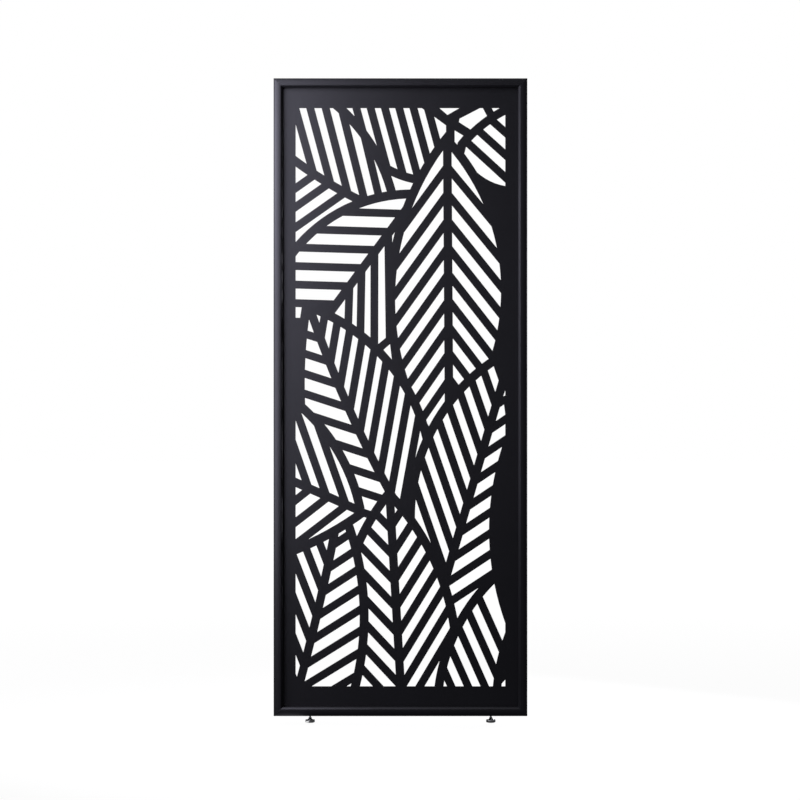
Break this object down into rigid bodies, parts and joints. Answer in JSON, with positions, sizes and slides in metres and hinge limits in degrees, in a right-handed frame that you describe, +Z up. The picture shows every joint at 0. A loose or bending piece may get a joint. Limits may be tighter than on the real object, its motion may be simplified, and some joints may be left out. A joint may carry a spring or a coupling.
{
  "type": "laser cut metal screen",
  "caption": "Tall slim metal privacy screen: a mitred black frame around a flat sheet cut through with overlapping leaf shapes, standing on adjustable levelling feet.",
  "frame": {"origin": "on the floor, under the middle of the screen", "axes": "+Z up, +X along the screen's width (to the right seen from the front), front faces -Y"},
  "size_m": [0.7, 0.05, 1.78],
  "materials": {
    "frame_coat": "satin black powder coat on hollow extrusion",
    "sheet_coat": "satin black powder coat on 3 mm sheet steel",
    "rubber_black": "matte",
    "cleat_aluminium": "mill",
    "screw_steel": "zinc plated",
    "nut_steel": "zinc plated",
    "stud_steel": "bright zinc plated",
    "pad_chrome": "polished chrome",
    "glide_nylon": "smooth"
  },
  "bodies": {
    "screen": {"left_stile": "frame_coat", "right_stile": "frame_coat", "top_rail": "frame_coat", "bottom_rail": "frame_coat", "leaf_sheet": "sheet_coat", "left_rubber": "rubber_black", "right_rubber": "rubber_black", "top_rubber": "rubber_black", "bottom_rubber": "rubber_black", "top_left_cleat": "cleat_aluminium", "top_right_cleat": "cleat_aluminium", "bottom_left_cleat": "cleat_aluminium", "bottom_right_cleat": "cleat_aluminium", "top_left_screws": "screw_steel", "top_right_screws": "screw_steel", "bottom_left_screws": "screw_steel", "bottom_right_screws": "screw_steel", "left_rivet_nut": "nut_steel", "right_rivet_nut": "nut_steel"},
    "left_foot": {"left_pad": "pad_chrome", "left_glide": "glide_nylon"},
    "left_screw": {"left_stud": "stud_steel"},
    "right_foot": {"right_pad": "pad_chrome", "right_glide": "glide_nylon"},
    "right_screw": {"right_stud": "stud_steel"}
  },
  "joints": [
    {"name": "left_foot_height", "type": "slide", "parent": "screen", "child": "left_foot", "axis": [0, 0, 1], "range_m": [-0.004, 0.004]},
    {"name": "left_stud_turn", "type": "hinge", "parent": "left_foot", "child": "left_screw", "pos_m": [-0.25, 0, 0.0175], "axis": [0, 0, 1], "range_deg": [-1440, 1440]},
    {"name": "right_foot_height", "type": "slide", "parent": "screen", "child": "right_foot", "axis": [0, 0, 1], "range_m": [-0.004, 0.004]},
    {"name": "right_stud_turn", "type": "hinge", "parent": "right_foot", "child": "right_screw", "pos_m": [0.25, 0, 0.0175], "axis": [0, 0, 1], "range_deg": [-1440, 1440]}
  ],
  "couplings": [
    {"joint": "left_stud_turn", "follows": "left_foot_height", "rad_per_m": 6283.2},
    {"joint": "right_stud_turn", "follows": "right_foot_height", "rad_per_m": 6283.2}
  ]
}
